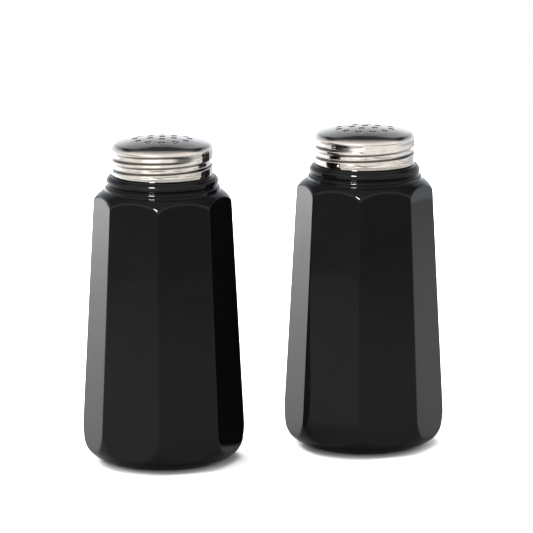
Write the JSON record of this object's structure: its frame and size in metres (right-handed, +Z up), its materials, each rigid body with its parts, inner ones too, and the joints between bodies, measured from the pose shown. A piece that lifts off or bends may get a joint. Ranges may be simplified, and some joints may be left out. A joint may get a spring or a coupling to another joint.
{
  "type": "salt and pepper shakers",
  "caption": "Pair of free-standing eight-sided black glass shakers with shouldered necks and domed steel screw caps pierced with shake holes.",
  "frame": {"origin": "on the table, midway between the axes of the two shakers", "axes": "+Z up, +X from the salt shaker to the pepper shaker, -Y towards the user"},
  "size_m": [0.1439, 0.0606, 0.1285],
  "materials": {
    "black_glass": "opaque black pressed glass, fire-polished",
    "polished_steel": "thin stainless steel sheet, polished, with faint drawing marks",
    "seal_silicone": "food-grade silicone, matt, off-white"
  },
  "bodies": {
    "salt_bottle": {"salt_bottle": "black_glass"},
    "salt_seal": {"salt_cap_seal": "seal_silicone"},
    "salt_cap": {"salt_cap": "polished_steel"},
    "pepper_bottle": {"pepper_bottle": "black_glass"},
    "pepper_seal": {"pepper_cap_seal": "seal_silicone"},
    "pepper_cap": {"pepper_cap": "polished_steel"}
  },
  "joints": [
    {"name": "salt_cap_rise", "type": "slide", "parent": "salt_bottle", "child": "salt_seal", "axis": [0, 0, 1], "range_m": [0, 0.01051]},
    {"name": "salt_cap_turn", "type": "hinge", "parent": "salt_seal", "child": "salt_cap", "pos_m": [-0.04175, 0, 0.118], "axis": [0, 0, 1], "range_deg": [0, 900]},
    {"name": "pepper_lift", "type": "slide", "parent": "salt_bottle", "child": "pepper_bottle", "axis": [0, 0, 1], "range_m": [0, 0.15]},
    {"name": "pepper_cap_rise", "type": "slide", "parent": "pepper_bottle", "child": "pepper_seal", "axis": [0, 0, 1], "range_m": [0, 0.01051]},
    {"name": "pepper_cap_turn", "type": "hinge", "parent": "pepper_seal", "child": "pepper_cap", "pos_m": [0.04175, 0, 0.118], "axis": [0, 0, 1], "range_deg": [0, 900]}
  ],
  "couplings": [
    {"joint": "salt_cap_rise", "follows": "salt_cap_turn", "m_per_rad": 0.00066845},
    {"joint": "pepper_cap_rise", "follows": "pepper_cap_turn", "m_per_rad": 0.00066845}
  ]
}
